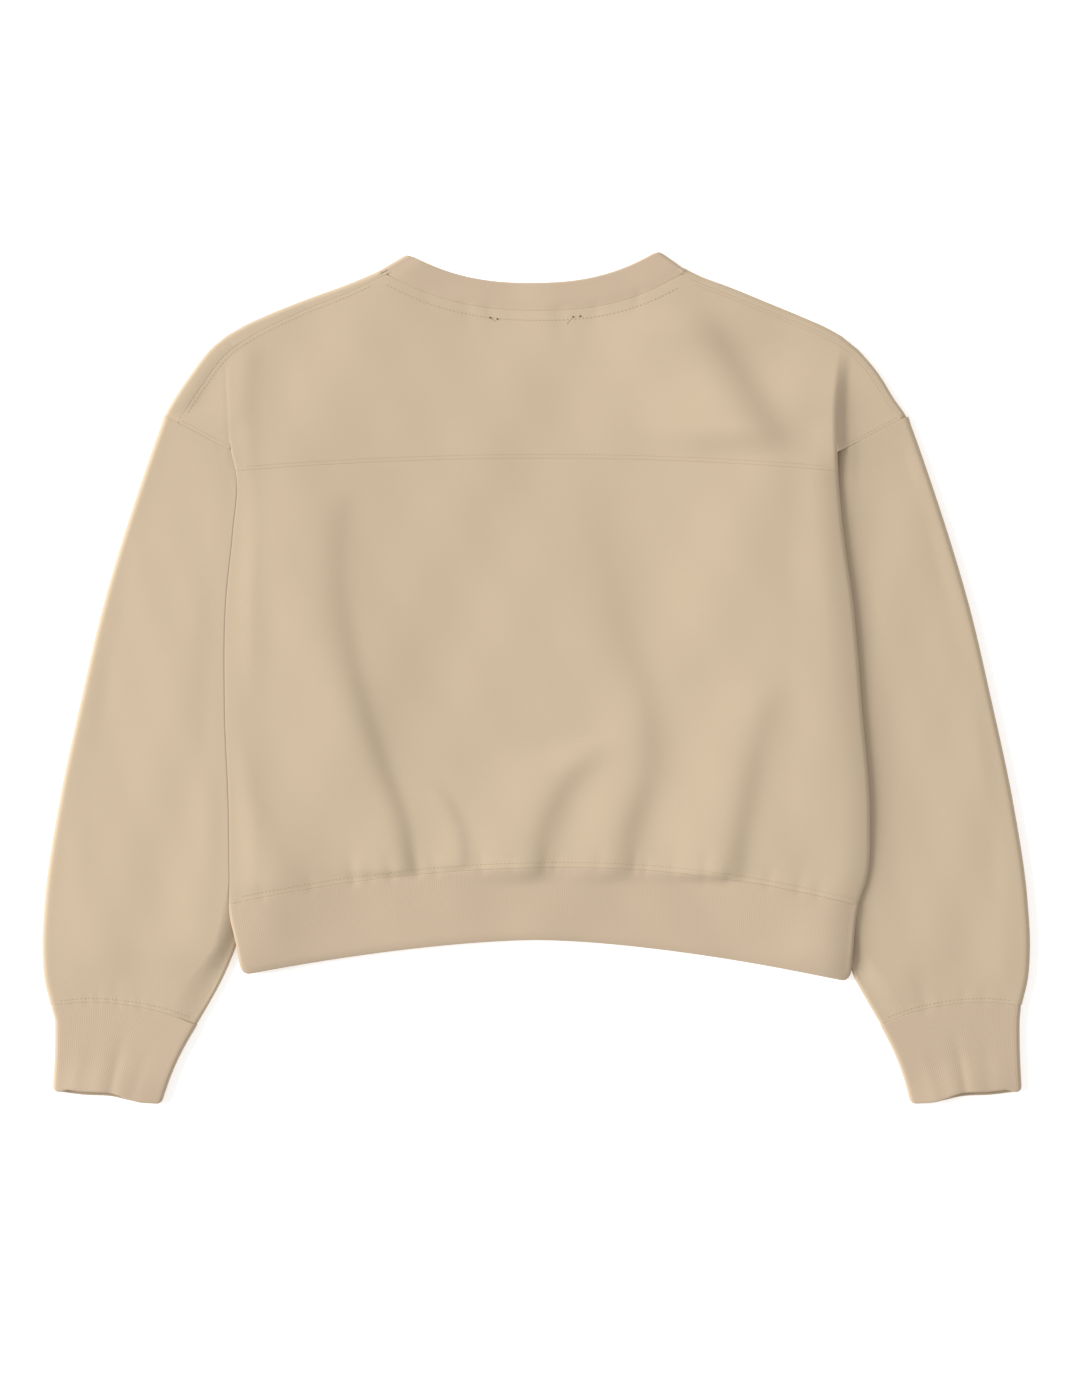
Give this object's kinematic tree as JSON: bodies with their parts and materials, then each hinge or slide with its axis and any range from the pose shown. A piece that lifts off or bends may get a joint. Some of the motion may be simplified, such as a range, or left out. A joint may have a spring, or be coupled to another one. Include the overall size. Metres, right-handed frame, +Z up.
{
  "type": "cropped sweatshirt laid flat",
  "caption": "Cropped crew-neck fleece sweatshirt lying flat on its front, with dropped shoulders, a back yoke, wide sleeves, rib collar, hem and cuffs.",
  "frame": {"origin": "centre of the garment's outline on the surface that it lies on", "axes": "+Z up, away from the surface; +Y from the hem to the neck; +X across the garment, to the right of someone who looks down on its back with the neck at the top"},
  "size_m": [0.7522, 0.6515, 0.0153],
  "materials": {
    "fleece": "matte brushed cotton fleece, sand beige",
    "rib": "matte fine cotton rib, sand beige",
    "thread": "matte polyester sewing thread, matched to the cloth"
  },
  "bodies": {
    "root": {"front": "fleece", "back": "fleece", "back_yoke": "fleece", "sleeve_left": "fleece", "sleeve_right": "fleece", "collar": "rib", "hem_rib": "rib", "cuff_left": "rib", "cuff_right": "rib"}
  },
  "joints": []
}
